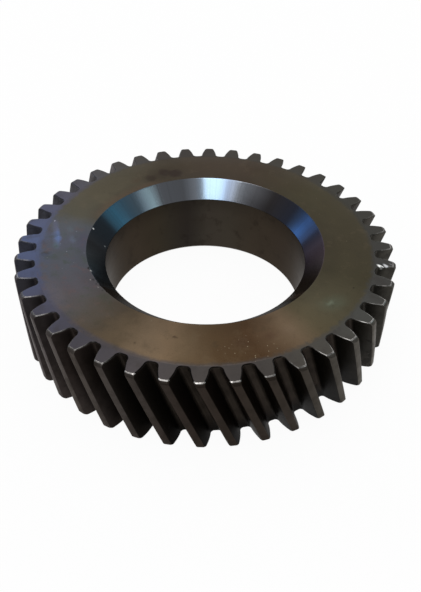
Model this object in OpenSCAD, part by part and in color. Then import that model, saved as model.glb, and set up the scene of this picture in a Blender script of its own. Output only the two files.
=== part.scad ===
// Helical crankshaft timing gear: a thick toothed ring that is pressed on a shaft.
// One machined piece of steel. Millimetres, +Z up along the bore, bottom face at z = 0.
// The teeth are true involutes, with their proportions set in the normal plane.

/* [Teeth] */
// Number of teeth round the rim
teeth = 40; // [38:1:60]
// Normal module, the size of a tooth measured square to its flank
normal_module = 3.5; // [3.25:0.25:5]
// Helix angle at the pitch circle, left hand
helix_angle = 19.6; // [0:0.2:30]
// Normal pressure angle
pressure_angle = 17.5; // [16:0.5:25]
// Addendum, in normal modules
addendum = 1; // [0.8:0.05:1.1]
// Dedendum, in normal modules
dedendum = 1.3; // [1.15:0.05:1.4]
// Radius of the root fillets
root_fillet = 1.5; // [0.6:0.1:1.8]
// Thickness taken off each tooth at the pitch circle for running backlash
backlash = 0.3; // [0:0.05:0.5]
// Chamfer on the tip corners at both ends of the teeth
tip_chamfer = 1.1; // [0.6:0.05:1.2]
// Broken edge all round the tooth outline at both ends
edge_break = 0.3; // [0.1:0.05:0.4]

/* [Ring] */
// Length of the teeth along the bore
face_width = 34.8; // [28:0.2:60]
// Height of the hub face above the top ends of the teeth
hub_step = 0.6; // [0.2:0.1:3]
// Width of the shallow slope that leads up to the hub face
hub_slope = 2.6; // [0.6:0.1:4]
// Width of the plain rim left between the slope and the tooth roots
rim_margin = 0.6; // [0.2:0.1:3]
// Diameter of the bore that grips the shaft
bore_d = 83.6; // [70:0.2:86]
// Diameter of the lead-in countersink at the hub face
countersink_d = 98; // [88:0.5:104]
// Angle between the countersink wall and the bore axis
countersink_angle = 45; // [40:1:60]
// Chamfer at the bottom end of the bore
bore_chamfer = 1.1; // [0.5:0.1:4]

/* [Resolution] */
// Facets along each root fillet
fillet_steps = 2; // [1:1:3]
// Facets along each flank
flank_steps = 4; // [3:1:5]
// Slices along the helix between the end chamfers
helix_steps = 3; // [2:1:4]

/* [Hidden] */
$fn = 96;
steel = [0.50, 0.48, 0.45];
overcut = 1;

// Transverse geometry, worked out from the normal module and the helix
transverse_module = normal_module / cos(helix_angle);
transverse_pressure = atan(tan(pressure_angle) / cos(helix_angle));
pitch_r = teeth * transverse_module / 2;
base_r = pitch_r * cos(transverse_pressure);
tip_r = pitch_r + addendum * normal_module;
root_r = pitch_r - dedendum * normal_module;
pitch_angle = 360 / teeth;

// Half angle of a tooth where its flank would start on the base circle
base_half_angle = pitch_angle / 4 - degrees(backlash / 2 / pitch_r)
    + involute_angle(transverse_pressure);

// The fillet is no larger than half the gap at the root circle leaves room for
root_half_gap = pitch_angle / 2 - base_half_angle + polar_at_roll(roll_at(root_r));
fillet_r = min(root_fillet, root_half_gap * PI / 180 * base_r);
fillet_centre_r = root_r + fillet_r;
fillet_roll = roll_at(fillet_centre_r);
fillet_centre_angle = base_half_angle + degrees(fillet_r / base_r) - polar_at_roll(fillet_roll);

// Ring sizes
hub_r = root_r - rim_margin;
hub_top = face_width + hub_step;
bore_r = bore_d / 2;
countersink_r = countersink_d / 2;
countersink_depth = (countersink_r - bore_r) / tan(countersink_angle);

function degrees(radians) = radians * 180 / PI;
// Polar angle swept by an involute, in degrees, at a given pressure angle
function involute_angle(a) = degrees(tan(a)) - a;
// Length of the string that reaches a given radius as it unrolls from the base circle
function roll_at(r) = sqrt(max(r * r - base_r * base_r, 0));
function radius_at(roll) = sqrt(roll * roll + base_r * base_r);
function polar_at_roll(roll) = involute_angle(atan(roll / base_r));
function at(r, a) = [r * cos(a), r * sin(a)];

// Points of one flank, from the root circle up to the tip, as [radius, angle from the
// tooth centre]. The surface is set back by inset, and stops at the radius top_r.
function fillet_points(inset) =
    let (
        centre = at(fillet_centre_r, fillet_centre_angle),
        start = fillet_centre_angle + 180,
        swing = 90 - atan(fillet_roll / base_r)
    )
    [for (i = [0 : fillet_steps])
        let (
            a = start + swing * i / fillet_steps,
            p = centre + at(fillet_r + inset, a)
        )
        [norm(p), atan2(p[1], p[0])]];

function flank_points(inset, top_r) =
    let (
        low = fillet_roll - fillet_r - inset,
        high = roll_at(top_r),
        half_angle = base_half_angle - degrees(inset / base_r)
    )
    [for (i = [1 : flank_steps])
        let (roll = low + (high - low) * i / flank_steps)
        [radius_at(roll), half_angle - polar_at_roll(roll)]];

// One tooth from the middle of the gap before it, up over the tip and down again
function tooth_points(inset, top_r) =
    let (flank = concat(fillet_points(inset), flank_points(inset, top_r)))
    concat(
        [[root_r - inset, -pitch_angle / 2]],
        [for (p = flank) [p[0], -p[1]]],
        [for (i = [len(flank) - 1 : -1 : 0]) flank[i]]
    );

// The whole outline at a height z, turned with the left-hand helix
function helix_turn(z) = -degrees(z * tan(helix_angle) / pitch_r);
function outline_at(z, inset, top_r) =
    [for (i = [0 : teeth - 1], p = tooth_points(inset, top_r))
        let (q = at(p[0], p[1] + i * pitch_angle + helix_turn(z))) [q[0], q[1], z]];

// Each level is [height, set-back, tip radius]: the end chamfers, then the plain helix
function end_levels() = [
    [0, edge_break, tip_r - tip_chamfer],
    [edge_break, 0, tip_r - tip_chamfer + edge_break],
    [tip_chamfer, 0, tip_r]
];
function levels() = concat(
    end_levels(),
    [for (i = [1 : helix_steps - 1])
        [tip_chamfer + (face_width - 2 * tip_chamfer) * i / helix_steps, 0, tip_r]],
    [for (i = [2 : -1 : 0])
        let (v = end_levels()[i]) [face_width - v[0], v[1], v[2]]]
);

// Solid helical gear blank with its teeth, before the bore is cut
module toothed_blank() {
    rings = levels();
    outlines = [for (v = rings) each outline_at(v[0], v[1], v[2])];
    per_ring = len(tooth_points(0, tip_r)) * teeth;
    last = len(rings) - 1;
    bottom_centre = len(outlines);
    top_centre = bottom_centre + 1;
    points = concat(outlines, [[0, 0, 0], [0, 0, face_width]]);
    sides = [for (k = [0 : last - 1], i = [0 : per_ring - 1])
        let (
            j = (i + 1) % per_ring,
            a = k * per_ring,
            b = a + per_ring
        )
        each [[a + i, b + i, b + j], [a + i, b + j, a + j]]];
    bottom = [for (i = [0 : per_ring - 1]) [bottom_centre, i, (i + 1) % per_ring]];
    top = [for (i = [0 : per_ring - 1])
        [top_centre, last * per_ring + (i + 1) % per_ring, last * per_ring + i]];
    polyhedron(points = points, faces = concat(sides, bottom, top));
}

// Profile of the bore with its lead-in countersink and the small chamfer below
module bore_void() {
    rotate_extrude()
        polygon([
            [0, -overcut],
            [bore_r + bore_chamfer + overcut, -overcut],
            [bore_r, bore_chamfer],
            [bore_r, hub_top - countersink_depth],
            [countersink_r, hub_top],
            [countersink_r, hub_top + overcut],
            [0, hub_top + overcut]
        ]);
}

// The hub: its flat face, and the shallow slope that comes down to the tooth ends
module hub() {
    rotate_extrude()
        polygon([
            [0, face_width / 2],
            [hub_r, face_width / 2],
            [hub_r, face_width],
            [hub_r - hub_slope, hub_top],
            [0, hub_top]
        ]);
}

module crankshaft_gear() {
    color(steel)
        difference() {
            union() {
                toothed_blank();
                hub();
            }
            bore_void();
        }
}

crankshaft_gear();
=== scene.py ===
# %% [markdown]
# # A helical gear from a crankshaft
# The real object is one piece of machined steel: a thick ring with forty slanted teeth, a
# bore that was pressed on a shaft, and a wide polished countersink that led the shaft in.
# This lesson dresses the CAD model of that gear. The CAD frame is loaded first, and
# everything below is built in the same frame, in metres, with +Z up along the bore.

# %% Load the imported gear
import math
import bpy
import bmesh
from mathutils import Matrix, Vector


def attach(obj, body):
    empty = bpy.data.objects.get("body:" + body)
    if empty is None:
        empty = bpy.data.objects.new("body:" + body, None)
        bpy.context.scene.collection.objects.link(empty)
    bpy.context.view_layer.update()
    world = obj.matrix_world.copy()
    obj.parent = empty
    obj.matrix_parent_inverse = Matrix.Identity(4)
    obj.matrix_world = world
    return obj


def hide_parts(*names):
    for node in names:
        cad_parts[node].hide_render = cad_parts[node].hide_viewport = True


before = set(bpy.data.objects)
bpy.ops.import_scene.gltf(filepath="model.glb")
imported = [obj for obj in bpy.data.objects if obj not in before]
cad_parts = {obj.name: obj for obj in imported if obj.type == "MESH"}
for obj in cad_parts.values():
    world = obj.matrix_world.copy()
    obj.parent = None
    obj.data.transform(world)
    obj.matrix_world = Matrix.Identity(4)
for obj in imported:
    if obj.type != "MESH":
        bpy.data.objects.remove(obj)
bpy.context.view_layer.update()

# %% [markdown]
# ## The camera
# The photographer looked down on the lying gear from a hand's length away, so the near teeth
# are much larger than the far ones. A camera that stands too far off loses that look. The
# stand below is given by its distance to the middle of the tooth ends, its height angle and
# its compass angle, and the small last turns put the gear where it lies in the picture.

# %% Camera
MM = 0.001
# The CAD teeth are 34.8 mm long. The picture shows their upper ends a little nearer to the
# hub face than the CAD does, so the dressed teeth are drawn that much longer.
CAD_FACE_WIDTH = 34.8 * MM
FACE_WIDTH = CAD_FACE_WIDTH + 0.35 * MM
PICTURE_HEIGHT = 592

camera_data = bpy.data.cameras.new("photo_camera")
camera = bpy.data.objects.new("photo_camera", camera_data)
bpy.context.scene.collection.objects.link(camera)
bpy.context.scene.camera = camera


def from_gear(compass, height):
    """The direction from the gear to a thing at this compass angle and height angle."""
    around, up = math.radians(compass), math.radians(height)
    level = math.cos(up)
    return Vector((math.cos(around) * level, math.sin(around) * level, math.sin(up)))


def aim_camera(distance, compass, height, pan, tilt, roll, focal_pixels):
    """Stand the camera on a sphere round the tooth ends and turn it like a tripod head."""
    target = Vector((0, 0, CAD_FACE_WIDTH))
    offset = from_gear(compass, height)
    look = (-offset).to_track_quat("-Z", "Y").to_matrix()
    head = (Matrix.Rotation(math.radians(pan), 3, "Y")
            @ Matrix.Rotation(math.radians(tilt), 3, "X")
            @ Matrix.Rotation(math.radians(-roll), 3, "Z"))
    camera.location = target + offset * distance
    camera.rotation_euler = (look @ head).to_euler()
    camera_data.sensor_width = 36
    camera_data.lens = focal_pixels / PICTURE_HEIGHT * camera_data.sensor_width
    camera_data.clip_start = 0.01
    camera_data.clip_end = 50


aim_camera(distance=282.98 * MM, compass=-89.341, height=37.447,
           pan=-0.4575, tilt=-4.4741, roll=-0.4287, focal_pixels=679.82)
print("camera at", [round(v, 4) for v in camera.location])
print("lens", round(camera_data.lens, 2), "mm")

# %% [markdown]
# ## The shape of one tooth
# A gear tooth isn't drawn freely. Its flanks are involutes, the curve that the end of a taut
# string draws as it unrolls from the base circle, and its feet are rounded into the gap. The
# same formulas shaped the CAD solid, so the new surface lies on the old one. Here the curves
# get more points, and the corners get the small worn roundings that catch the light.

# %% Sizes of the toothing
TEETH = 40
NORMAL_MODULE = 3.5 * MM
ADDENDUM = NORMAL_MODULE
DEDENDUM = 1.3 * NORMAL_MODULE
HELIX = math.radians(19.6)
PRESSURE = math.radians(17.5)
BACKLASH = 0.3 * MM
FOOT_ROUNDING = 1.5 * MM

TRANSVERSE_MODULE = NORMAL_MODULE / math.cos(HELIX)
TRANSVERSE_PRESSURE = math.atan(math.tan(PRESSURE) / math.cos(HELIX))
PITCH_R = TEETH * TRANSVERSE_MODULE / 2
BASE_R = PITCH_R * math.cos(TRANSVERSE_PRESSURE)
TIP_R = PITCH_R + ADDENDUM
ROOT_R = PITCH_R - DEDENDUM
PITCH_ANGLE = 2 * math.pi / TEETH
HELIX_TURN = -math.tan(HELIX) / PITCH_R

# Roundings that wear has left, along the end faces and along the corners of the tip
BROKEN_EDGE = 0.52 * MM
TIP_CORNER = 0.6 * MM


def involute(angle):
    return math.tan(angle) - angle


def string_length(radius):
    return math.sqrt(max(radius ** 2 - BASE_R ** 2, 0))


def unrolled(length):
    """Polar angle that the involute has swept when its string is this long."""
    return involute(math.atan(length / BASE_R))


BASE_HALF_ANGLE = PITCH_ANGLE / 4 - BACKLASH / 2 / PITCH_R + involute(TRANSVERSE_PRESSURE)
FOOT_CENTRE_R = ROOT_R + FOOT_ROUNDING
FOOT_STRING = string_length(FOOT_CENTRE_R)
FOOT_CENTRE_ANGLE = BASE_HALF_ANGLE + FOOT_ROUNDING / BASE_R - unrolled(FOOT_STRING)
FOOT_SWING = math.pi / 2 - math.atan(FOOT_STRING / BASE_R)
for name, size in {"pitch": PITCH_R, "tip": TIP_R, "root": ROOT_R}.items():
    print(name, "radius", round(size / MM, 2), "mm")

# %% Points of one side of a tooth
FOOT_STEPS = 6
FLANK_STEPS = 8


def half_tooth(set_back, top_r):
    """Points (radius, angle from the tooth's middle), from the middle of the gap to the tip."""
    points = [(ROOT_R - set_back, PITCH_ANGLE / 2)]
    centre = Vector((math.cos(FOOT_CENTRE_ANGLE), math.sin(FOOT_CENTRE_ANGLE))) * FOOT_CENTRE_R
    for step in range(FOOT_STEPS + 1):
        turn = FOOT_CENTRE_ANGLE + math.pi + FOOT_SWING * step / FOOT_STEPS
        spot = centre + Vector((math.cos(turn), math.sin(turn))) * (FOOT_ROUNDING + set_back)
        points.append((spot.length, math.atan2(spot.y, spot.x)))
    low = FOOT_STRING - FOOT_ROUNDING - set_back
    high = string_length(top_r - TIP_CORNER)
    for step in range(1, FLANK_STEPS + 1):
        string = low + (high - low) * step / FLANK_STEPS
        angle = BASE_HALF_ANGLE - set_back / BASE_R - unrolled(string)
        points.append((math.hypot(string, BASE_R), angle))
    corner_angle = BASE_HALF_ANGLE - set_back / BASE_R - unrolled(string_length(top_r))
    below = points[-1]
    beside = (top_r, corner_angle - TIP_CORNER / top_r)
    for t in (0.25, 0.5, 0.75, 1.0):
        a, b, c = (1 - t) ** 2, 2 * t * (1 - t), t ** 2
        points.append((a * below[0] + b * top_r + c * beside[0],
                       a * below[1] + b * corner_angle + c * beside[1]))
    points.append((top_r, beside[1] * 0.5))
    points.append((top_r, 0.0))
    return points


def tooth_outline(set_back, top_r):
    """The whole tooth from gap to gap, in order of growing angle."""
    half = half_tooth(set_back, top_r)
    return [(r, -a) for r, a in half] + [(r, a) for r, a in reversed(half[:-1])]


PITCH_POINTS = len(tooth_outline(0, TIP_R))
print("points over one pitch:", PITCH_POINTS)

# %% [markdown]
# ## Modelling the toothed rim
# By hand this starts with the root circle. One pitch of it is kept, its points are moved out
# onto the outline of the tooth, and that line is extruded up the gear in slices, each turned
# a little about the bore axis, which makes the helix. At both ends the first slices are thin
# and set back, for the chamfered tip and the rounded edge.

# %% Small helpers for work in edit mode


def deselect_everything():
    if bpy.context.object and bpy.context.object.mode != "OBJECT":
        bpy.ops.object.mode_set(mode="OBJECT")
    bpy.ops.object.select_all(action="DESELECT")


def open_mesh(piece):
    """The mesh in edit mode; it has to be read anew after every operator."""
    return bmesh.from_edit_mesh(piece.data)


def pick(piece, test, kind="VERT"):
    """Select only the points, edges or faces that pass the test, and count them."""
    bpy.ops.mesh.select_mode(type=kind)
    bpy.ops.mesh.select_all(action="DESELECT")
    mesh = open_mesh(piece)
    parts = {"VERT": mesh.verts, "EDGE": mesh.edges, "FACE": mesh.faces}[kind]
    count = 0
    for part in parts:
        if test(part):
            part.select_set(True)
            count += 1
    mesh.select_flush_mode()
    bmesh.update_edit_mesh(piece.data)
    return count


def middle(part):
    return sum((v.co for v in part.verts), Vector()) / len(part.verts)


def turned(radius, angle, height):
    return Vector((radius * math.cos(angle), radius * math.sin(angle), height))


# %% One pitch of the root circle becomes the foot of the tooth
deselect_everything()
bpy.ops.mesh.primitive_circle_add(vertices=TEETH * (PITCH_POINTS - 1), radius=ROOT_R)
gear = bpy.context.object
gear.name = "helical_gear"
gear.data.name = "helical_gear"
gear.data.attributes.new("station", "INT", "POINT")
bpy.ops.object.mode_set(mode="EDIT")
half_pitch = PITCH_ANGLE / 2 + 1e-5
pick(gear, lambda v: abs(math.atan2(v.co.y, v.co.x)) > half_pitch)
bpy.ops.mesh.delete(type="VERT")
mesh = open_mesh(gear)
station = mesh.verts.layers.int["station"]
for number, vert in enumerate(sorted(mesh.verts, key=lambda v: math.atan2(v.co.y, v.co.x))):
    vert[station] = number
bmesh.update_edit_mesh(gear.data)
print("points kept:", len(mesh.verts))


def fit_outline(height, set_back, top_r):
    """Move the selected line onto the tooth outline at this height."""
    outline = tooth_outline(set_back, top_r)
    mesh = open_mesh(gear)
    station = mesh.verts.layers.int["station"]
    for vert in mesh.verts:
        if vert.select:
            radius, angle = outline[vert[station]]
            vert.co = turned(radius, angle + height * HELIX_TURN, height)
    bmesh.update_edit_mesh(gear.data)


# %% Slices along the helix
def end_levels():
    """(height, set-back, tip radius) of the slices that round and chamfer one end."""
    shape = [(0.0, 1.0, 1.50), (0.10, 0.62, 1.22), (0.24, 0.30, 0.98), (0.42, 0.07, 0.74),
             (0.64, 0.0, 0.48), (0.92, 0.0, 0.18), (1.14, 0.0, 0.04), (1.36, 0.0, 0.0)]
    return [(height * MM, set_back * BROKEN_EDGE, TIP_R - drop * MM)
            for height, set_back, drop in shape]


ENDS = end_levels()
SLICES = 10
LIFT = {"value": (0, 0, 0.1 * MM)}

pick(gear, lambda v: True)
fit_outline(*ENDS[0])
for level in ENDS[1:]:
    bpy.ops.mesh.select_mode(type="EDGE")
    bpy.ops.mesh.extrude_edges_move(MESH_OT_extrude_edges_indiv={}, TRANSFORM_OT_translate=LIFT)
    fit_outline(*level)
first = ENDS[-1][0]
slice_height = (FACE_WIDTH - 2 * first) / SLICES
for step in range(SLICES):
    bpy.ops.mesh.extrude_edges_move(MESH_OT_extrude_edges_indiv={},
                                    TRANSFORM_OT_translate={"value": (0, 0, slice_height)})
    bpy.ops.transform.rotate(value=-slice_height * HELIX_TURN, orient_axis="Z",
                             center_override=(0, 0, 0))
    height = first + slice_height * (step + 1)
    if step == 0:
        mesh = open_mesh(gear)
        station = mesh.verts.layers.int["station"]
        tip = next(v for v in mesh.verts if v.select and v[station] == PITCH_POINTS // 2)
        print("helix check:", round(math.atan2(tip.co.y, tip.co.x) / (height * HELIX_TURN), 4))
for height, set_back, top_r in reversed(ENDS[:-1]):
    bpy.ops.mesh.extrude_edges_move(MESH_OT_extrude_edges_indiv={}, TRANSFORM_OT_translate=LIFT)
    fit_outline(FACE_WIDTH - height, set_back, top_r)
print("rim of one tooth:", len(open_mesh(gear).verts), "points")

# %% [markdown]
# The two ends of the tooth are flat, so each is one face. Its inner side is a short arc on the
# circle where the hub face begins. The arc could be drawn by hand, but a single point that is
# spun about the bore axis ends exactly where the next pitch starts.

# %% Close both ends of the tooth
HUB_R = ROOT_R - 0.6 * MM
LATHE_STEPS = 10
SAME_HEIGHT = 1e-7
SAME_SPOT = 1e-6


def spin_one_pitch():
    """Turn what is selected about the bore axis to where the next pitch starts."""
    bpy.ops.mesh.spin(steps=LATHE_STEPS, angle=-PITCH_ANGLE, center=(0, 0, 0), axis=(0, 0, 1))


def close_end(height):
    """Spin an inner arc over one pitch and fill the face between it and the outline."""
    mesh = open_mesh(gear)
    station = mesh.verts.layers.int["station"]
    corner = next(v for v in mesh.verts
                  if v[station] == 0 and abs(v.co.z - height) < SAME_HEIGHT)
    angle = math.atan2(corner.co.y, corner.co.x)
    corner_at = corner.co.copy()
    foot = turned(HUB_R, angle, height)
    pick(gear, lambda v: (v.co - corner_at).length < SAME_HEIGHT)
    bpy.ops.mesh.extrude_vertices_move(TRANSFORM_OT_translate={"value": foot - corner_at})
    pick(gear, lambda v: (v.co - foot).length < SAME_SPOT)
    spin_one_pitch()
    far_gap = turned(ROOT_R - BROKEN_EDGE, angle + PITCH_ANGLE, height)
    far_foot = turned(HUB_R, angle + PITCH_ANGLE, height)
    found = pick(gear, lambda v: min((v.co - far_gap).length, (v.co - far_foot).length) < SAME_SPOT)
    bpy.ops.mesh.edge_face_add()
    pick(gear, lambda v: abs(v.co.z - height) < SAME_HEIGHT)
    bpy.ops.mesh.edge_face_add()
    return found


for height in (0.0, FACE_WIDTH):
    print("end at", round(height / MM, 1), "mm: far corners found", close_end(height))
bpy.ops.object.mode_set(mode="OBJECT")
print("one tooth:", len(gear.data.vertices), "points,", len(gear.data.polygons), "faces")

# %% [markdown]
# ## The ring inside the teeth
# Everything that was turned on a lathe is a profile spun about the bore axis: the hub face,
# which stands a little proud of the tooth ends, the countersink, the bore wall and the
# chamfer below. Only one pitch of it is spun, so that it can be sewn to the tooth. Each corner
# of the profile is two or three close points, which is how a turned edge looks after use.

# %% Spin the lathe profile over one pitch
HUB_TOP = 35.4 * MM
BORE_R = 41.8 * MM
COUNTERSINK_R = 49.0 * MM
COUNTERSINK_LOW = HUB_TOP - (COUNTERSINK_R - BORE_R)

lathe_profile = [
    (HUB_R, FACE_WIDTH), (HUB_R - 0.9 * MM, FACE_WIDTH + 0.02 * MM),
    (HUB_R - 2.0 * MM, FACE_WIDTH + 0.08 * MM), (HUB_R - 3.2 * MM, FACE_WIDTH + 0.15 * MM),
    (HUB_R - 4.4 * MM, FACE_WIDTH + 0.20 * MM), (HUB_R - 5.8 * MM, FACE_WIDTH + 0.235 * MM),
    (HUB_R - 7.4 * MM, HUB_TOP), (56.0 * MM, HUB_TOP), (COUNTERSINK_R + 0.7 * MM, HUB_TOP),
    (COUNTERSINK_R + 0.14 * MM, HUB_TOP), (COUNTERSINK_R + 0.02 * MM, HUB_TOP - 0.03 * MM),
    (COUNTERSINK_R - 0.1 * MM, HUB_TOP - 0.11 * MM), (48.5 * MM, 34.9 * MM),
    (46.2 * MM, 32.6 * MM), (44.0 * MM, 30.4 * MM),
    (BORE_R + 0.12 * MM, COUNTERSINK_LOW + 0.12 * MM),
    (BORE_R + 0.03 * MM, COUNTERSINK_LOW - 0.03 * MM),
    (BORE_R, COUNTERSINK_LOW - 0.16 * MM),
    (BORE_R, 20.0 * MM), (BORE_R, 11.0 * MM),
    (BORE_R, 1.26 * MM), (BORE_R + 0.04 * MM, 1.08 * MM),
    (BORE_R + 1.02 * MM, 0.06 * MM), (BORE_R + 1.18 * MM, 0.0),
    (52.0 * MM, 0.0), (60.0 * MM, 0.0), (HUB_R, 0.0),
]

deselect_everything()
bpy.ops.mesh.primitive_circle_add(vertices=len(lathe_profile), radius=10 * MM)
ring = bpy.context.object
ring.name = "lathe_ring"
bpy.ops.object.mode_set(mode="EDIT")
mesh = open_mesh(ring)
start = FACE_WIDTH * HELIX_TURN - PITCH_ANGLE / 2
mesh.verts.ensure_lookup_table()
for vert, (radius, height) in zip(mesh.verts, lathe_profile):
    vert.co = turned(radius, start, height)
# The last point meets the lower tooth ends, which the helix has turned by a pitch and a bit
last = mesh.verts[len(lathe_profile) - 1]
last.co = turned(HUB_R, -1.5 * PITCH_ANGLE, 0.0)
closing = next(e for e in mesh.edges
               if {v.index for v in e.verts} == {0, len(lathe_profile) - 1})
mesh.edges.remove(closing)
bmesh.update_edit_mesh(ring.data)
pick(ring, lambda e: True, "EDGE")
spin_one_pitch()
bpy.ops.object.mode_set(mode="OBJECT")
angles = [math.degrees(math.atan2(v.co.y, v.co.x)) for v in ring.data.vertices]
print("spun from", round(min(angles), 3), "to", round(max(angles), 3), "degrees")

# %% [markdown]
# ## From one pitch to the whole gear
# The tooth and its slice of the ring become one mesh. Each zone gets its own finish before the
# copying, so that every copy brings its finishes along. Then the slice is copied round the
# bore forty times, the seams are merged, and all faces are made to point outwards.

# %% Join, name the zones, copy round and sew
EDGE_ZONE = 0.26 * MM
# A normal's upward part from which a face counts as flat, and its outward share at a tooth tip
FLAT_ENOUGH = 0.999
OUTWARD_ENOUGH = 0.62
ZONES = ["hub_face", "tooth_end", "broken_edge", "tooth_flank", "tip_land",
         "countersink", "bore_wall", "bottom_face"]
for zone in ZONES:
    gear.data.materials.append(bpy.data.materials.new(zone))


def zone_of(face):
    """The name of the finish that belongs on a face, by its place on the gear."""
    at = middle(face)
    radius = math.hypot(at.x, at.y)
    flat = abs(face.normal.z) > FLAT_ENOUGH
    if radius < HUB_R + 0.01 * MM:
        if at.z < 1.2 * MM:
            return "bottom_face"
        if radius < BORE_R + 0.05 * MM:
            return "bore_wall"
        if at.z < HUB_TOP - 0.02 * MM and radius < COUNTERSINK_R + 0.1 * MM:
            return "countersink"
        return "hub_face"
    if flat:
        return "tooth_end" if at.z > 0.5 * FACE_WIDTH else "bottom_face"
    outward = (face.normal.x * at.x + face.normal.y * at.y) / radius
    level = math.hypot(face.normal.x, face.normal.y)
    tip = radius > PITCH_R and outward > OUTWARD_ENOUGH * level
    if min(at.z, FACE_WIDTH - at.z) < EDGE_ZONE:
        return "broken_edge"
    return "tip_land" if tip else "tooth_flank"


def take_gear():
    """Select the gear alone and make it the active object."""
    deselect_everything()
    gear.select_set(True)
    bpy.context.view_layer.objects.active = gear


take_gear()
ring.select_set(True)
bpy.ops.object.join()
bpy.ops.object.mode_set(mode="EDIT")
mesh = open_mesh(gear)
mesh.normal_update()
for face in mesh.faces:
    face.material_index = ZONES.index(zone_of(face))
bmesh.update_edit_mesh(gear.data)
bpy.ops.mesh.select_all(action="SELECT")
bpy.ops.mesh.remove_doubles(threshold=SAME_SPOT)
bpy.ops.mesh.select_all(action="SELECT")
bpy.ops.mesh.spin(steps=TEETH - 1, dupli=True, angle=PITCH_ANGLE - 2 * math.pi,
                  center=(0, 0, 0), axis=(0, 0, 1))
bpy.ops.mesh.select_all(action="SELECT")
bpy.ops.mesh.remove_doubles(threshold=2 * SAME_SPOT)
bpy.ops.mesh.normals_make_consistent(inside=False)
mesh = open_mesh(gear)
open_edges = sum(1 for e in mesh.edges if len(e.link_faces) != 2)
print("open edges:", open_edges, "volume:", round(mesh.calc_volume() * 1e6, 2), "cm3")
bpy.ops.object.mode_set(mode="OBJECT")
triangles = sum(len(p.vertices) - 2 for p in gear.data.polygons)
print("whole gear:", len(gear.data.polygons), "faces,", triangles, "triangles")

# %% [markdown]
# ## Knocks and chips
# One tooth at the right was struck twice, and its upper edge is pushed in. The rim of the
# countersink is nibbled in a few places from pressing. Both are made by moving the points of
# the edge, as with a proportional grab: the edge in the flat face goes furthest, and the
# points below follow less, so each knock becomes a small slope.

# %% Push the edge points in
def bump(away):
    """1 in the middle of a knock, 0 at its rim and beyond."""
    return (1 - away * away) ** 2 if abs(away) < 1 else 0.0


# The struck tooth, and where its struck edge lies beside the tooth's middle, in radians
STRUCK_ANGLE = math.radians(-9.55)
STRUCK_SPAN = (-0.062, -0.008)
BLOW_WAY = Vector((-0.36, 0.93, 0.0))
BLOW_DEPTH = 1.3 * MM
# Each blow is a radius, a half width and how far it goes, in millimetres
BLOWS = [(72.3, 1.3, 0.9), (75.0, 1.2, 0.7)]
# Each chip is an angle and a half width in degrees, and how far it goes in millimetres
CHIPS = [(-156.8, 1.0, 0.40), (-153.9, 0.7, 0.16), (-149.7, 0.8, 0.26), (-147.2, 0.8, 0.30),
         (-144.4, 1.0, 0.22), (-139.0, 0.8, 0.14), (33.1, 0.8, 0.22), (18.0, 0.8, 0.16),
         (-4.5, 0.8, 0.20), (71.0, 0.8, 0.14), (124.0, 0.8, 0.14)]


def knock(spot):
    """How far and which way a point of the finished gear is pushed."""
    radius, angle = math.hypot(spot.x, spot.y), math.atan2(spot.y, spot.x)
    depth = FACE_WIDTH - spot.z
    beside = angle - STRUCK_ANGLE
    on_edge = radius > HUB_R + 0.2 * MM and STRUCK_SPAN[0] < beside < STRUCK_SPAN[1]
    if depth < BLOW_DEPTH and on_edge:
        push = sum(far * bump((radius / MM - at) / wide) for at, wide, far in BLOWS)
        return BLOW_WAY * push * MM * (1 - depth / (BLOW_DEPTH + 0.1 * MM))
    if spot.z > HUB_TOP - 0.2 * MM and abs(radius - COUNTERSINK_R) < 0.2 * MM:
        push = sum(far * bump((math.degrees(angle) - at) / wide) for at, wide, far in CHIPS)
        return Vector((spot.x, spot.y, -0.4 * radius)) / radius * push * MM
    return Vector()


take_gear()
bpy.ops.object.mode_set(mode="EDIT")
pushed = pick(gear, lambda v: knock(v.co).length > 0.02 * MM)
mesh = open_mesh(gear)
struck = {v: knock(v.co) for v in mesh.verts if v.select}
for vert, way in struck.items():
    vert.co += way
bmesh.update_edit_mesh(gear.data)
bpy.ops.object.mode_set(mode="OBJECT")
print("points pushed:", pushed)

# %% [markdown]
# ## Smooth where it is round, crisp where it is flat
# Smooth shading bends the light over the facets of the flanks and the bore. Left alone it
# would also bend it over the flat ends next to every rounded edge, so the Weighted Normal
# modifier lets the large flat faces keep their own direction.

# %% Shade the gear
take_gear()
bpy.ops.object.shade_smooth_by_angle(angle=math.radians(38))
steady = gear.modifiers.new("flat faces stay flat", "WEIGHTED_NORMAL")
steady.weight = 80
steady.keep_sharp = True
bpy.ops.object.modifier_apply(modifier=steady.name)
print("modifiers left:", len(gear.modifiers))
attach(gear, "root")
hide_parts("crankshaft_gear")

# %% [markdown]
# ## Writing finishes as sums
# A finish is a web of small nodes, and long webs are easier to read as sums. The class Wire
# stands for one output of a node: adding or multiplying two wires adds the Math node that
# does it. The class Finish holds one material and makes every other node through one method.

# %% One wire of a finish
class Wire:
    """One output of a node, which can be used in plain sums."""

    def __init__(self, finish, socket):
        self.finish = finish
        self.socket = socket

    def maths(self, operation, first, second):
        node = self.finish.tree.nodes.new("ShaderNodeMath")
        node.operation = operation
        self.finish.feed(node.inputs[0], first)
        self.finish.feed(node.inputs[1], second)
        return Wire(self.finish, node.outputs[0])

    def __add__(self, other):
        return self.maths("ADD", self, other)

    def __radd__(self, other):
        return self.maths("ADD", other, self)

    def __sub__(self, other):
        return self.maths("SUBTRACT", self, other)

    def __rsub__(self, other):
        return self.maths("SUBTRACT", other, self)

    def __mul__(self, other):
        return self.maths("MULTIPLY", self, other)

    def __rmul__(self, other):
        return self.maths("MULTIPLY", other, self)

    def __truediv__(self, other):
        return self.maths("DIVIDE", self, other)


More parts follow.
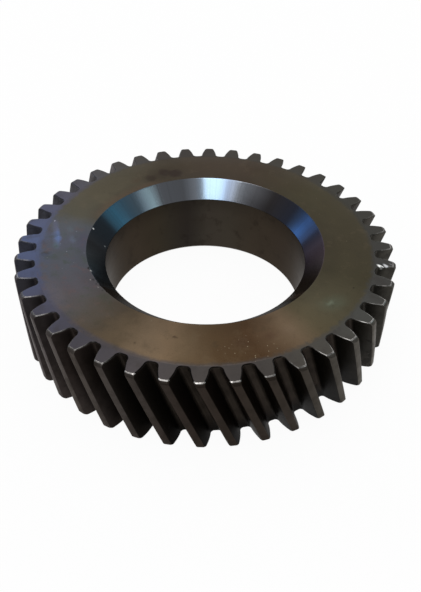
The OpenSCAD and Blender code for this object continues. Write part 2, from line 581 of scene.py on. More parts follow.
# %% A finish and its nodes
class Finish:
    """One material of the gear and the nodes that paint it."""

    def __init__(self, material):
        self.material = material
        material.use_nodes = True
        self.tree = material.node_tree
        self.tree.nodes.clear()
        self.output = self.tree.nodes.new("ShaderNodeOutputMaterial")
        self.shader = self.tree.nodes.new("ShaderNodeBsdfPrincipled")
        self.tree.links.new(self.shader.outputs[0], self.output.inputs[0])

    def feed(self, socket, value):
        if isinstance(value, Wire):
            self.tree.links.new(value.socket, socket)
        else:
            socket.default_value = value

    def node(self, kind, settings=None, values=None, out=0):
        """Add a node, set it up first, then feed its sockets by name or number."""
        node = self.tree.nodes.new(kind)
        for name, setting in (settings or {}).items():
            if name == "stops":
                ramp = node.color_ramp
                while len(ramp.elements) > 1:
                    ramp.elements.remove(ramp.elements[-1])
                ramp.elements[0].position = setting[0][0]
                ramp.elements[0].color = setting[0][1]
                for position, colour in setting[1:]:
                    ramp.elements.new(position).color = colour
            else:
                setattr(node, name, setting)
        for name, value in (values or {}).items():
            self.feed(node.inputs[name], value)
        return Wire(self, node.outputs[out])

    def place(self):
        """Where a point lies on the gear, in metres."""
        return self.node("ShaderNodeTexCoord", out="Object")

    def split(self, vector):
        node = self.tree.nodes.new("ShaderNodeSeparateXYZ")
        self.feed(node.inputs[0], vector)
        return [Wire(self, socket) for socket in node.outputs]

    def vector(self, x, y, z):
        return self.node("ShaderNodeCombineXYZ", None, {0: x, 1: y, 2: z})

    def noise(self, vector, scale, detail=3.0, roughness=0.5):
        return self.node("ShaderNodeTexNoise", None,
                         {"Vector": vector, "Scale": scale, "Detail": detail,
                          "Roughness": roughness})

    def step(self, value, low, high, start=0.0, end=1.0):
        """A soft step: start below low, end above high."""
        return self.node("ShaderNodeMapRange", {"interpolation_type": "SMOOTHSTEP"},
                         {"Value": value, "From Min": low, "From Max": high,
                          "To Min": start, "To Max": end})

    def blend(self, first, second, amount):
        """Mix two colours by an amount from 0 to 1."""
        return self.node("ShaderNodeMix", {"data_type": "RGBA"},
                         {0: amount, 6: first, 7: second}, out=2)

    def spot(self, place, x, y, wide, tall, turn=0.0, soft=0.6):
        """A mask that is 1 inside an oval patch on the gear, sizes in millimetres."""
        local = self.node("ShaderNodeMapping", {"vector_type": "TEXTURE"},
                          {"Vector": place, "Location": (x * MM, y * MM, 0.0),
                           "Rotation": (0.0, 0.0, math.radians(turn)),
                           "Scale": (wide * MM, tall * MM, 1.0)})
        away = self.node("ShaderNodeVectorMath", {"operation": "LENGTH"}, {0: local}, out=1)
        return self.step(away, 1.0 - soft, 1.0, 1.0, 0.0)

    def dots(self, place, every, size, share):
        """A mask of small round specks: spacing and radius in millimetres, share of them kept."""
        near = self.node("ShaderNodeTexVoronoi", None,
                         {"Vector": place, "Scale": 1 / (every * MM)}, out="Distance")
        draw = self.split(Wire(self, near.socket.node.outputs["Color"]))[0]
        kept = self.step(draw, 1.0 - share, 1.0 - share + 0.02)
        return self.step(near, 0.5 * size / every, 1.1 * size / every, 1.0, 0.0) * kept

    def marks(self, colour, place, patches):
        """Paint oval patches: x, y, wide, tall, turn, softness, amount and colour."""
        for x, y, wide, tall, turn, soft, amount, tone in patches:
            mask = self.spot(place, x, y, wide, tall, turn, soft)
            colour = self.blend(colour, paint(*tone), mask * amount)
        return colour

    def tilt(self, height, strength, distance):
        """Bump from a height, which is 1 where the surface stands this distance proud."""
        return self.node("ShaderNodeBump", None,
                         {"Strength": strength, "Distance": distance, "Height": height})

    def dress(self, colour, roughness, normal=None):
        """Put what varies on the shader, and say how large the finish has become."""
        self.feed(self.shader.inputs["Base Color"], colour)
        self.feed(self.shader.inputs["Roughness"], roughness)
        if normal is not None:
            self.feed(self.shader.inputs["Normal"], normal)
        print(self.material.name, "is made of", len(self.tree.nodes), "nodes")


# %% Paint colours, and a new finish
def paint(red, green, blue):
    """A colour given as on a paint chart, 0 to 255, turned into the renderer's numbers."""
    def straight(value):
        value = value / 255
        return value / 12.92 if value <= 0.04045 else ((value + 0.055) / 1.055) ** 2.4
    return (straight(red), straight(green), straight(blue), 1.0)


def finish_for(zone, metallic=1.0):
    """Start the finish of one zone of the gear, as a plain metal."""
    finish = Finish(gear.data.materials[ZONES.index(zone)])
    finish.shader.inputs["Metallic"].default_value = metallic
    return finish


# %% [markdown]
# Several finishes change round the gear, as hardened steel does where the heat tinted it. They
# need the angle and the radius of a point. Lathe and grinding marks run round the bore, so
# their noise is stretched along the angle; sine and cosine of the angle leave no seam.

# %% Places and tones round the bore
def round_the_bore(finish, place):
    """Radius, share of the way round from 0 to 1, cosine and sine of the angle, and height."""
    x, y, z = finish.split(place)
    radius = finish.node("ShaderNodeMath", {"operation": "SQRT"}, {0: x * x + y * y})
    angle = finish.node("ShaderNodeMath", {"operation": "ARCTAN2"}, {0: y, 1: x})
    share = angle / (2 * math.pi) + 0.5
    return radius, share, x / radius, y / radius, z


def share_at(degrees):
    """The share of the way round that belongs to an angle from -180 to 180 degrees."""
    return (degrees + 180) / 360


def rise(finish, share, start, full, low=0.0, high=1.0):
    """A soft step from low to high between two angles in degrees."""
    return finish.step(share, share_at(start), share_at(full), low, high)


def arc(finish, share, start, full, fade, end):
    """A mask that is 1 on an arc: it rises between two angles and fades between two more."""
    return rise(finish, share, start, full) * rise(finish, share, fade, end, 1.0, 0.0)


def tint_ring(finish, share, tints):
    """Colours that follow the angle, given as degrees and a paint colour."""
    stops = [(share_at(degrees), paint(*colour)) for degrees, colour in tints]
    return finish.node("ShaderNodeValToRGB", {"stops": stops}, {0: share})


def frayed_place(finish, place, scale, sideways, onward):
    """The place, pushed to and fro by noise, which frays what is drawn on it."""
    push = finish.noise(place, scale, 3.0, 0.6) - 0.5
    shift = finish.vector(push * sideways, push * onward, 0.0)
    return finish.node("ShaderNodeVectorMath", {"operation": "ADD"}, {0: place, 1: shift})


def turning_marks(finish, radius, east, north, across, along):
    """Noise drawn out into fine rings: across and along are lines per metre."""
    vector = finish.vector(east * along, north * along, radius * across)
    return finish.noise(vector, 1.0, 4.0, 0.6)


# %% [markdown]
# ## The hub face
# The flat face between the teeth and the bore is ground steel with an oily brown tint. Its violet
# at the left and olive behind are painted reflection of the studio, and its tan wedges in front are
# painted highlights. One plain tone would look like plastic, so a colour ramp runs once round the
# bore, and its two ends have the same tone.
# Towards the teeth it fades into the cleaner steel of the tooth ends. The tones of the rings
# were first judged on small areas of the photograph, and then scaled until the same areas of
# the render matched them in brightness and hue.

# %% Hub face finish
# Tones round the tooth ends; the blue at the left is a painted reflection of blue light
END_REFLECTION_TINTS = [
    (-180, (72, 82, 112)), (-162, (67, 73, 97)), (-146, (66, 66, 80)), (-128, (60, 58, 64)),
    (-108, (67, 63, 64)), (-90, (65, 61, 59)), (-76, (61, 57, 55)), (-60, (69, 66, 61)),
    (-36, (65, 65, 62)), (-12, (55, 54, 52)), (20, (48, 47, 42)), (70, (50, 46, 39)),
    (104, (45, 40, 36)), (130, (64, 62, 60)), (156, (71, 70, 85)), (180, (72, 82, 112))]
hub = finish_for("hub_face")
place = hub.place()
loose = frayed_place(hub, place, 120.0, 12.0 * MM, -10.0 * MM)
close = frayed_place(hub, place, 420.0, 2.8 * MM, -2.2 * MM)
radius, share, east, north, _ = round_the_bore(hub, loose)
# Tones round the hub face: the brown of the steel with painted reflection in it, violet at the left
# and olive behind, and tan wedges of painted highlight in front
colour = tint_ring(hub, share, [
    (-180, (72, 74, 85)), (-162, (72, 74, 81)), (-150, (74, 71, 76)), (-138, (73, 69, 66)),
    (-126, (69, 60, 49)), (-118, (80, 68, 53)), (-110, (98, 83, 66)), (-103, (103, 86, 67)),
    (-95, (88, 73, 55)), (-86, (74, 58, 40)), (-73, (69, 51, 34)), (-64, (88, 71, 54)),
    (-58, (100, 84, 66)), (-50, (81, 73, 55)), (-40, (75, 70, 54)), (-20, (58, 53, 38)),
    (2, (57, 51, 36)), (40, (56, 50, 31)), (70, (54, 42, 28)), (90, (57, 46, 33)),
    (108, (54, 45, 30)), (126, (65, 59, 44)), (146, (72, 66, 51)), (162, (72, 69, 58)),
    (170, (73, 76, 81)), (180, (72, 74, 85))])
colour = hub.blend(colour, paint(12, 10, 8), hub.step(radius, 49.5 * MM, 58.0 * MM, 0.16, 0.0))
rim = tint_ring(hub, share, END_REFLECTION_TINTS)
near_edge = round_the_bore(hub, close)[0]
# The tones of the tooth ends, cleaner steel with painted reflection in it, reach less far in at the
# front, right and back
narrow = (arc(hub, share, -118.8, -100.8, 7.2, 36.0)
          + arc(hub, share, 36.0, 57.6, 129.6, 151.2) * 1.4)
rim_share = hub.step(near_edge - narrow * (0.8 * MM), 66.3 * MM, 68.4 * MM, 0.0, 0.85)
colour = hub.blend(colour, rim, rim_share)
# A thin painted highlight along the front edge of the hub face
front_highlight_arc = arc(hub, share, -115.2, -100.8, -79.2, -57.6)
colour = hub.blend(colour, paint(112, 104, 102),
                   hub.step(near_edge, 68.5 * MM, 68.9 * MM, 0.0, 0.18) * front_highlight_arc)
print("hub face so far:", len(hub.tree.nodes), "nodes")

# %% [markdown]
# Stains, rubs and patches of painted reflection could be painted on a picture, but a picture has an
# end to its detail. Here each is an oval with a soft rim, given by its place, its two half widths,
# its turn, softness, strength and tone, and a little noise in the place frays its outline.

# %% Places of the marks on the hub face
# A smear of oil and dust at the left, its blue a painted reflection of blue light
SMEAR_AND_BLUE_REFLECTION = [
    (-61.9, 1.6, 2.3, 9.5, 13, 1.0, 0.85, (84, 96, 124)),
    (-61.6, 2.6, 1.7, 7.4, 13, 1.0, 0.70, (84, 104, 150)),
    (-56.5, -34.0, 5.5, 14.0, 30, 1.0, 0.40, (92, 88, 94)),
    (-61.4, -3.6, 2.0, 3.6, 8, 1.0, 0.55, (74, 90, 96)),
    (-63.8, 9.6, 2.0, 8.0, 15, 1.0, 0.60, (88, 90, 112)),
    (-55.2, 0.4, 2.0, 4.2, 20, 1.0, 0.65, (84, 92, 110)),
    (-57.2, 7.2, 2.2, 3.2, 10, 1.0, 0.50, (78, 88, 96)),
    (-59.0, 2.6, 1.6, 5.4, 13, 1.0, 0.40, (66, 76, 76)),
    (-65.8, 6.0, 1.8, 5.0, 10, 1.0, 0.45, (66, 58, 62)),
    (-66.6, -1.6, 1.6, 3.6, 6, 1.0, 0.40, (64, 56, 60)),
    (-60.6, -11.6, 3.4, 2.6, -20, 1.0, 0.50, (58, 66, 58)),
    (-64.6, -9.5, 3.2, 2.2, 10, 0.8, 0.60, (46, 48, 50)),
    (-57.0, -9.5, 9.0, 4.5, 0, 1.0, 0.35, (64, 72, 64)),
    (-50.4, 0.0, 3.0, 9.0, 0, 1.0, 0.40, (66, 62, 78))]
# Rust-brown stains at the back
STAINS = [
    (-22.0, 51.5, 17.0, 9.0, 22, 1.0, 0.55, (34, 22, 6)),
    (-15.0, 52.6, 4.4, 4.6, 10, 0.6, 0.80, (30, 13, 3)),
    (-20.2, 53.2, 3.4, 4.0, 30, 0.6, 0.75, (31, 15, 3)),
    (-26.2, 48.2, 3.4, 3.6, 30, 0.6, 0.60, (32, 18, 5)),
    (-33.0, 45.6, 4.2, 3.0, 38, 0.9, 0.35, (66, 50, 34))]
# Pale and dark rubs in front and at the right
RUBS = [
    (14.0, -58.0, 5.6, 4.6, 0, 1.0, 0.45, (60, 42, 30)),
    (24.0, -54.5, 3.6, 3.0, 20, 1.0, 0.35, (64, 44, 34)),
    (30.5, -50.8, 4.4, 3.4, 30, 1.0, 0.40, (104, 88, 72)),
    (48.5, -36.6, 9.0, 6.0, 30, 1.0, 0.50, (78, 84, 70)),
    (47.2, -36.6, 2.6, 1.8, 35, 0.9, 0.40, (112, 120, 104))]
# Small pits, nicks beside the countersink, and pale specks, painted glints on bare metal
PITS = [
    (-9.9, -55.8, 1.1, 0.8, 0, 0.8, 0.55, (36, 26, 18)),
    (-23.7, -58.9, 0.9, 0.7, 0, 0.8, 0.45, (46, 36, 28)),
    (57.5, -27.9, 0.9, 0.7, 0, 0.8, 0.60, (26, 24, 18)),
    (-64.9, 13.3, 0.4, 0.5, 0, 0.7, 0.90, (180, 180, 200)),
    (-45.7, -18.3, 0.8, 1.1, 30, 0.6, 0.90, (20, 24, 24)),
    (-43.0, -25.2, 0.6, 0.8, 30, 0.7, 0.70, (34, 36, 36)),
    (-41.2, -27.9, 0.5, 0.8, 35, 0.7, 0.60, (36, 38, 36)),
    (-38.6, -31.4, 0.5, 0.8, 40, 0.7, 0.60, (36, 38, 36)),
    (-44.0, -25.4, 0.4, 0.5, 0, 0.7, 0.60, (138, 136, 132)),
    (-40.6, -29.6, 0.4, 0.6, 35, 0.7, 0.55, (128, 126, 122))]
print("marks on the hub face:", len(SMEAR_AND_BLUE_REFLECTION + STAINS + RUBS + PITS))

# %% Stains, rubs, specks and painted reflections of the hub face
rusty = arc(hub, share, 108.0, 122.4, 156.6, 167.4)
colour = hub.blend(colour, paint(84, 60, 46),
                   hub.step(near_edge, 49.0 * MM, 54.5 * MM, 0.32, 0.0) * rusty)
for patches in (SMEAR_AND_BLUE_REFLECTION, STAINS, RUBS, PITS):
    colour = hub.marks(colour, close, patches)
cloud = hub.noise(place, 55.0, 4.0, 0.6)
patchy = hub.noise(place, 190.0, 4.0, 0.65)
# Green and violet mottles at the left are painted reflection
left_reflection_mottle = hub.spot(place, -52.0, -16.0, 26.0, 46.0, 20.0, 0.8)
colour = hub.blend(colour, paint(62, 76, 62), hub.step(patchy, 0.53, 0.68, 0.0, 0.34) * left_reflection_mottle)
colour = hub.blend(colour, paint(84, 62, 70), hub.step(patchy, 0.32, 0.47, 0.34, 0.0) * left_reflection_mottle)
frayed = hub.step(patchy, 0.42, 0.60) * hub.step(radius, 61.5 * MM, 66.5 * MM) * left_reflection_mottle
colour = hub.blend(colour, rim, frayed * 0.55)
colour = hub.blend(colour, paint(46, 42, 32), hub.step(patchy, 0.54, 0.72, 0.0, 0.22))
colour = hub.blend(colour, paint(96, 84, 66), hub.step(patchy, 0.30, 0.46, 0.14, 0.0))
marks = turning_marks(hub, radius, east, north, 5200.0, 5.0)
grain = hub.noise(place, 2600.0, 2.0, 0.7)
colour = hub.blend(colour, paint(20, 17, 14), hub.step(grain, 0.52, 0.75, 0.0, 0.30))
# The bright flecks in front and at the left are painted glints
front_glint_area = hub.spot(place, 17.0, -61.0, 15.0, 8.0, 8.0, 0.7)
left_glint_area = hub.spot(place, -56.0, -4.0, 13.0, 26.0, 0.0, 0.9)
everywhere = hub.dots(place, 3.1, 0.22, 0.12)
colour = hub.blend(colour, paint(172, 160, 134),
                   hub.dots(place, 1.15, 0.20, 0.46) * front_glint_area * 0.75)
colour = hub.blend(colour, paint(146, 150, 160),
                   hub.dots(place, 1.8, 0.24, 0.26) * left_glint_area * 0.75)
colour = hub.blend(colour, paint(120, 112, 100), everywhere * 0.45)
hub.dress(colour, 0.40 + (cloud - 0.5) * 0.18 + (marks - 0.5) * 0.10,
          hub.tilt(marks * 0.6 + grain * 0.4, 0.22, 0.04 * MM))

# %% [markdown]
# ## The ends of the teeth
# Outside the hub face the ground steel is cleaner, and it isn't oiled as brown; it is bluer, most
# of all at the left, where the blue is a painted reflection of blue light. It takes the same ring
# of tones as the rim of the hub face, so no line shows where they meet.
# The struck tooth gets its two bright strokes, painted highlights on fresh metal, as long narrow
# ovals.

# %% Tooth end finish
ends = finish_for("tooth_end")
place = ends.place()
share = round_the_bore(ends, place)[1]
colour = tint_ring(ends, share, END_REFLECTION_TINTS)
grain = ends.noise(place, 2200.0, 2.0, 0.7)
cloud = ends.noise(place, 140.0, 3.0, 0.6)
colour = ends.blend(colour, paint(24, 22, 20), ends.step(grain, 0.55, 0.8, 0.0, 0.25))
colour = ends.blend(colour, paint(52, 48, 46), ends.step(cloud, 0.5, 0.7, 0.0, 0.35))
# The two blows on the struck tooth left bright strokes of fresh metal, painted highlights, a dent
# with painted shade in it, and a few scratches
FRESH_METAL_GLINTS = [
    (70.3, -14.6, 2.6, 0.95, -48, 0.6, 1.00, (240, 242, 240)),
    (72.6, -14.4, 2.6, 1.00, -56, 0.6, 0.90, (196, 198, 200))]
# A dark oval of painted shade in the dent under the strokes
colour = ends.marks(colour, place, [(71.2, -14.0, 3.2, 2.2, -45, 0.6, 0.45, (34, 36, 38))])
colour = ends.marks(colour, place, FRESH_METAL_GLINTS)
colour = ends.marks(colour, place, [
    (75.0, -11.3, 1.4, 0.30, -31, 0.7, 0.45, (130, 130, 134)),
    (74.6, -13.0, 1.5, 0.40, -43, 0.7, 0.50, (130, 130, 134))])
ends.dress(colour, 0.36 + (cloud - 0.5) * 0.2, ends.tilt(grain, 0.18, 0.03 * MM))

# %% [markdown]
# ## The broken edges
# Where the end face meets flank and tip, the edge was broken with a file. Towards the tips it is
# worn and painted bright, a painted highlight of the glints that the lamps throw off it, most of
# all on the front teeth; down in the gaps and round the back it stays as dark as its surroundings,
# and at the left its tone is a painted reflection of blue light. Edge wear is often found by a
# shader from the bend of the mesh, but here the zone has its own material, so its radius and angle
# say how bright it is.

# %% Broken edge finish
edge = finish_for("broken_edge")
place = edge.place()
wear = edge.noise(place, 700.0, 3.0, 0.6)
radius, share, *_ = round_the_bore(edge, place)
# Tones round the edge; the blue at the left is a painted reflection of blue light
colour = tint_ring(edge, share, [
    (-180, (60, 64, 80)), (-150, (40, 40, 46)), (-128, (26, 24, 24)), (-60, (24, 21, 19)),
    (-36, (40, 39, 37)), (-10, (46, 45, 43)), (20, (48, 47, 43)), (100, (46, 43, 39)),
    (130, (60, 58, 58)), (156, (68, 67, 80)), (180, (60, 64, 80))])
# Where the edge is bright: wear, and painted highlight that is strongest on the front teeth
rubbed_glint = tint_ring(edge, share, [
    (-180, (90, 90, 90)), (-168, (140, 140, 140)), (-150, (150, 150, 150)),
    (-122, (150, 150, 150)), (-104, (255, 255, 255)), (-84, (255, 255, 255)),
    (-70, (180, 180, 180)), (-48, (215, 215, 215)), (-20, (190, 190, 190)),
    (4, (170, 170, 170)), (24, (110, 110, 110)), (44, (40, 40, 40)), (150, (0, 0, 0)),
    (168, (50, 50, 50)), (180, (90, 90, 90))])
at_tip = edge.step(radius, ROOT_R + 1.0 * MM, ROOT_R + 5.2 * MM, 0.10, 1.0)
only_tip = edge.step(radius, TIP_R - 2.0 * MM, TIP_R - 1.5 * MM)
front_highlight_arc = arc(edge, share, -126.0, -111.6, -72.0, -57.6)
at_tip = at_tip * (1.0 - front_highlight_arc) + only_tip * front_highlight_arc
colour = edge.blend(colour, paint(214, 210, 206),
                    rubbed_glint * at_tip * edge.step(wear, 0.36, 0.62, 1.0, 0.35))
colour = edge.marks(colour, place, FRESH_METAL_GLINTS)
edge.dress(colour, 0.26 + (wear - 0.5) * 0.2)

# %% [markdown]
# ## Flanks and lands
# The flanks were hardened and are covered with a thin black-brown oxide, so they take little
# light. The lands at the tooth tips are worn a little greyer. The hob left fine lines. Oxide
# is no bare metal, so these finishes are only partly metallic and lose nearly all their gloss.

# %% Tooth flank finish
flank = finish_for("tooth_flank", metallic=0.45)
flank.shader.inputs["Specular IOR Level"].default_value = 0.05
flank.shader.inputs["Specular Tint"].default_value = (0.30, 0.28, 0.26, 1.0)
place = flank.place()
radius, share, _, _, height = round_the_bore(flank, place)
cloud = flank.noise(place, 160.0, 4.0, 0.6)
lines = flank.noise(flank.vector(radius * 5000.0, height * 60.0, share * 200.0), 1.0, 3.0, 0.6)
# Tones round the gear: the dark oxide, painted darker in front as shade and paler at the sides and
# back as painted reflection
tone = tint_ring(flank, share, [
    (-180, (58, 60, 71)), (-165, (54, 54, 60)), (-150, (52, 48, 49)), (-130, (44, 37, 34)),
    (-112, (26, 23, 20)), (-97, (20, 16, 13)), (-82, (19, 13, 9)), (-67, (18, 13, 8)),
    (-52, (23, 20, 15)), (-37, (46, 43, 38)), (-22, (62, 60, 55)), (8, (84, 82, 76)),
    (25, (72, 68, 62)), (90, (54, 51, 48)), (128, (112, 108, 108)), (150, (80, 79, 84)),
    (170, (61, 62, 70)), (180, (58, 60, 71))])
# The floors of the gaps are paler than their walls, most of all at the front right
in_gap = flank.step(radius, ROOT_R + 0.5 * MM, ROOT_R + 1.4 * MM, 1.0, 0.0)
in_gap = in_gap * rise(flank, share, -122.4, -61.2, 0.25, 1.0)
in_gap = in_gap * rise(flank, share, -43.2, -28.8, 1.0, 0.0)
colour = flank.blend(tone, paint(60, 53, 47), in_gap * 0.85)
# Towards the lower ends they are painted paler at the left, a painted reflection of the floor, and
# black in front, painted shade
floor_reflection_left = flank.step(height, 3.0 * MM, 24.0 * MM, 0.6, 0.0)
floor_reflection_left = floor_reflection_left * rise(flank, share, -122.4, -111.6, 1.0, 0.0)
colour = flank.blend(colour, paint(70, 63, 60), floor_reflection_left)
# Painted shade low down in front
below = flank.step(height, 1.0 * MM, 11.0 * MM, 0.9, 0.0)
below = below * arc(flank, share, -108.0, -93.6, -43.2, -28.8)
colour = flank.blend(colour, paint(10, 8, 6), below)
colour = flank.blend(colour, paint(22, 18, 15), flank.step(cloud, 0.42, 0.66, 0.0, 0.4))
# Painted highlight on the fresh metal where the tooth was struck
struck = flank.spot(place, 71.3, -15.9, 2.6, 0.8, -48, 0.7)
colour = flank.blend(colour, paint(206, 208, 206),
                     struck * flank.step(height, FACE_WIDTH - 1.5 * MM, FACE_WIDTH - 0.6 * MM))
flank.dress(colour, 0.42 + (cloud - 0.5) * 0.2, flank.tilt(lines, 0.15, 0.03 * MM))

# %% Tip land finish
land = finish_for("tip_land", metallic=0.7)
land.shader.inputs["Specular IOR Level"].default_value = 0.05
land.shader.inputs["Specular Tint"].default_value = (0.5, 0.48, 0.46, 1.0)
place = land.place()
share = round_the_bore(land, place)[1]
cloud = land.noise(place, 180.0, 4.0, 0.6)
grain = land.noise(place, 2400.0, 2.0, 0.7)
# Tones round the gear: the worn steel, painted darker in front as shade and paler at the sides and
# back as painted reflection
tone = tint_ring(land, share, [
    (-180, (88, 82, 84)), (-155, (98, 92, 93)), (-142, (92, 86, 86)), (-127, (76, 70, 66)),
    (-112, (67, 62, 59)), (-97, (49, 42, 38)), (-82, (49, 42, 37)), (-67, (54, 48, 43)),
    (-52, (73, 70, 65)), (-37, (95, 92, 87)), (-22, (92, 90, 86)), (0, (94, 93, 90)),
    (60, (80, 78, 74)), (160, (76, 70, 70)), (180, (88, 82, 84))])
colour = land.blend(tone, paint(36, 32, 28), land.step(cloud, 0.4, 0.66, 0.0, 0.45))
land.dress(colour, 0.36 + (cloud - 0.5) * 0.2, land.tilt(grain, 0.2, 0.03 * MM))

# %% [markdown]
# ## The countersink
# The countersink is the brightest surface. It was turned fine and polished when the gear was
# pressed on, so it mirrors the studio, and the turning marks draw each reflection out down the
# slope. An anisotropic shader does that. A ring of tones paints the bands of those reflections into
# the colour as well: the white band behind, blue and purple ones at the right, teal and steel-blue
# ones at the left, and dark ones between, so each band is partly painted reflection and partly lit
# by the lamps.

# %% Countersink finish
cone = finish_for("countersink")
cone.shader.inputs["Anisotropic"].default_value = 0.9
cone.shader.inputs["Anisotropic Rotation"].default_value = 0.25
place = cone.place()
radius, share, east, north, height = round_the_bore(cone, place)
colour = tint_ring(cone, share, [
    (-180, (28, 31, 35)), (-166, (50, 58, 63)), (-154, (74, 84, 92)), (-144, (30, 26, 22)),
    (-60, (42, 34, 27)), (-45, (16, 12, 8)), (-33, (72, 58, 49)), (-25, (90, 74, 65)),
    (-15, (88, 75, 79)), (-6, (70, 56, 66)), (7, (58, 55, 70)), (15, (53, 69, 98)),
    (22, (62, 93, 138)), (28, (56, 72, 98)), (34, (57, 61, 75)), (50, (66, 63, 64)),
    (62, (117, 118, 123)), (71, (128, 133, 141)), (78, (126, 139, 160)),
    (84, (150, 172, 195)), (91, (155, 176, 196)), (97, (144, 151, 161)),
    (104, (107, 110, 116)), (117, (113, 117, 124)), (124, (124, 142, 149)),
    (130, (98, 111, 120)), (142, (78, 108, 128)), (150, (60, 97, 117)), (161, (45, 54, 62)),
    (180, (28, 31, 35))])
# The painted reflection bands lean a little, so they are painted darker low down at the right and
# high up in the blue one
lower = cone.step(radius, 42.0 * MM, 47.5 * MM, 1.0, 0.0)
grey_side = arc(cone, share, 43.2, 54.0, 61.2, 72.0)
blue_side = arc(cone, share, 9.0, 16.2, 25.2, 32.4)
colour = cone.blend(colour, paint(36, 34, 36), lower * grey_side * 0.38)
colour = cone.blend(colour, paint(44, 48, 64), (1 - lower) * blue_side * 0.42)
marks = turning_marks(cone, radius, east, north, 9000.0, 8.0)
streaks = cone.noise(cone.vector(east * 60.0, north * 60.0, height * 8.0), 1.0, 3.0, 0.6)
colour = cone.blend(colour, paint(40, 38, 38), cone.step(streaks, 0.55, 0.8, 0.0, 0.35))
# Chips at the rim of the countersink, with near-white painted glints on their bare metal, and two
# grey lines
colour = cone.marks(colour, place, [
    (-47.7, 8.6, 0.45, 0.6, 0, 0.7, 1.00, (240, 242, 244)),
    (-44.7, -19.5, 0.5, 0.9, 30, 0.6, 1.00, (226, 224, 220)),
    (-42.7, 3.7, 0.4, 0.5, 0, 0.7, 0.80, (150, 154, 156)),
    (-46.9, -7.6, 1.2, 0.3, 8, 0.8, 0.30, (90, 100, 104)),
    (-44.0, -12.8, 1.6, 0.35, 12, 0.8, 0.35, (90, 100, 104))])
# The front of the countersink is dull, and a bare metal would mirror the floor at that slant
dull = arc(cone, share, -149.4, -141.12, -43.2, -36.0)
cone.shader.inputs["Specular IOR Level"].default_value = 0.0
cone.feed(cone.shader.inputs["Metallic"], 1.0 - dull * 0.85)
cone.dress(colour, 0.19 + (marks - 0.5) * 0.08, cone.tilt(marks, 0.10, 0.02 * MM))

# %% [markdown]
# ## The bore wall and the bottom face
# The bore wall is satin and dark brown from the heat of pressing. Round the bore it is painted
# lighter where light falls, and at its lower edge it is painted darkest, painted shade.
# Noise that is drawn out along the angle gives the rings that the boring tool left.
# The bottom face isn't seen in the photograph and is taken as ground like the hub face.

# %% Bore wall finish
bore = finish_for("bore_wall")
bore.shader.inputs["Anisotropic"].default_value = 0.5
bore.shader.inputs["Specular Tint"].default_value = (0.68, 0.67, 0.66, 1.0)
place = bore.place()
_, share, east, north, height = round_the_bore(bore, place)
# Tones round the bore: the brown of the steel, painted lighter where light falls
colour = tint_ring(bore, share, [
    (-180, (44, 35, 25)), (-90, (46, 38, 30)), (0, (40, 30, 22)), (20, (45, 36, 27)),
    (40, (51, 43, 35)), (60, (55, 48, 40)), (76, (56, 51, 44)), (90, (55, 50, 44)),
    (96, (47, 43, 38)), (103, (40, 36, 33)), (113, (45, 41, 35)), (124, (50, 44, 35)),
    (140, (53, 45, 36)), (160, (48, 39, 29)), (180, (44, 35, 25))])
rings = bore.noise(bore.vector(east * 4.0, north * 4.0, height * 2600.0), 1.0, 4.0, 0.6)
cloud = bore.noise(place, 45.0, 3.0, 0.5)
colour = bore.blend(colour, paint(40, 34, 28), bore.step(cloud, 0.42, 0.70, 0.0, 0.25))
blotch = bore.noise(place, 150.0, 4.0, 0.65)
colour = bore.blend(colour, paint(28, 22, 17), bore.step(blotch, 0.52, 0.70, 0.0, 0.40))
colour = bore.blend(colour, paint(22, 19, 15), bore.step(height, 19.0 * MM, 28.0 * MM, 0.0, 0.26))
# Painted shade at the lower edge of the bore
colour = bore.blend(colour, paint(26, 22, 18), bore.step(height, 0.4 * MM, 2.4 * MM, 0.25, 0.0))
bore.dress(colour, 0.34 + (rings - 0.5) * 0.2, bore.tilt(rings, 0.12, 0.03 * MM))

# %% Bottom face finish
bottom = finish_for("bottom_face")
place = bottom.place()
radius, _, east, north, _ = round_the_bore(bottom, place)
marks = turning_marks(bottom, radius, east, north, 5200.0, 5.0)
cloud = bottom.noise(place, 60.0, 4.0, 0.6)
colour = bottom.blend(paint(84, 74, 64), paint(66, 58, 50), bottom.step(cloud, 0.4, 0.65))
bottom.dress(colour, 0.40 + (marks - 0.5) * 0.14, bottom.tilt(marks, 0.2, 0.04 * MM))

# %% [markdown]
# ## Floor and light
# The gear lies on a plain near-white floor. Soft boxes stand round it. Polished steel shows
# what stands where the view bounces to, so each box has a job: the one behind lights the hub
# face, the tall one beside the camera draws the white band in the countersink, those at the
# sides draw the pale and blue bands, and the ceiling lights the teeth. Each is set by its
# compass angle, its height angle and the level at which it shines.

# %% Floor
deselect_everything()
bpy.ops.mesh.primitive_circle_add(vertices=64, radius=6.0, fill_type="NGON", location=(0, 0, 0))
floor = bpy.context.object
floor.name = "floor"
floor_material = bpy.data.materials.new("plain_floor")
floor.data.materials.append(floor_material)
plain = Finish(floor_material)
plain.shader.inputs["Base Color"].default_value = (0.96, 0.96, 0.96, 1.0)
plain.shader.inputs["Roughness"].default_value = 0.9
plain.shader.inputs["Specular IOR Level"].default_value = 0.1
# Seen by the camera or in the steel, most of the floor's tone is plain white, and the rest
# is the lit floor with the shadow of the gear
seen = plain.node("ShaderNodeLightPath", out="Is Camera Ray")
mirrored = plain.node("ShaderNodeLightPath", out="Is Glossy Ray")
white = plain.node("ShaderNodeEmission", None, {"Color": (1.0, 1.0, 1.0, 1.0), "Strength": 1.0})
WHITE_SHARE = 0.95
mixed = plain.node("ShaderNodeMixShader", None, {0: (seen + mirrored) * WHITE_SHARE, 2: white})
plain.tree.links.new(plain.shader.outputs[0], mixed.socket.node.inputs[1])
plain.tree.links.new(mixed.socket, plain.output.inputs[0])
print("floor:", round(floor.dimensions.x, 1), "m across")

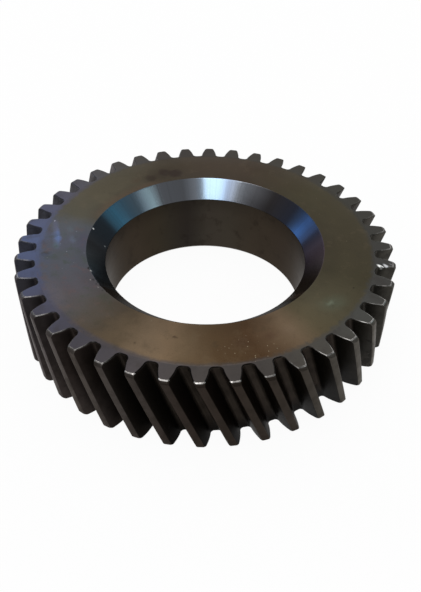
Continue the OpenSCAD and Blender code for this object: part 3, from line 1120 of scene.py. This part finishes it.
# %% Soft boxes
bpy.context.scene.view_settings.view_transform = "Standard"
WORLD_LEVEL = 0.40
world = bpy.data.worlds.new("studio")
bpy.context.scene.world = world
world.use_nodes = True
background = world.node_tree.nodes["Background"]
background.inputs[0].default_value = (1.0, 1.0, 1.0, 1.0)
background.inputs[1].default_value = WORLD_LEVEL
# Above the edge of the floor the camera sees the same plain white
seen = world.node_tree.nodes.new("ShaderNodeLightPath")
shown = world.node_tree.nodes.new("ShaderNodeMapRange")
shown.inputs["To Min"].default_value = WORLD_LEVEL
world.node_tree.links.new(seen.outputs["Is Camera Ray"], shown.inputs["Value"])
world.node_tree.links.new(shown.outputs[0], background.inputs[1])


def soft_box(name, compass, height, wide, tall, level, colour=(1.0, 1.0, 1.0), distance=1.5):
    """A box that fills wide by tall degrees, seen from the gear, and shines at a level."""
    light = bpy.data.lights.new(name, "AREA")
    light.shape = "RECTANGLE"
    light.size = 2 * distance * math.tan(math.radians(wide / 2))
    light.size_y = 2 * distance * math.tan(math.radians(tall / 2))
    light.energy = level * 4 * light.size * light.size_y
    light.color = colour
    box = bpy.data.objects.new(name, light)
    away = from_gear(compass, height)
    box.location = away * distance
    box.rotation_euler = away.to_track_quat("Z", "Y").to_euler()
    bpy.context.scene.collection.objects.link(box)
    print(name, round(light.size, 2), "by", round(light.size_y, 2), "m")


soft_box("back_box", 90, 39, 78, 40, 0.68)
soft_box("window_box", -102, 54, 15, 26, 0.95, (0.84, 0.96, 1.0))
soft_box("side_box", -18, 43, 15, 18, 0.8, (0.85, 0.95, 1.0))
soft_box("teal_box", 18, 28, 20, 14, 0.45, (0.6, 0.9, 1.0))
soft_box("blue_box", 152, 22, 24, 16, 0.8, (0.55, 0.75, 1.0))
soft_box("ceiling_box", 180, 80, 62, 25, 1.7)

# %% [markdown]
# ## The end
# At the end nothing is left selected, and the scene is brought up to date.

# %% Finish
deselect_everything()
bpy.context.view_layer.update()
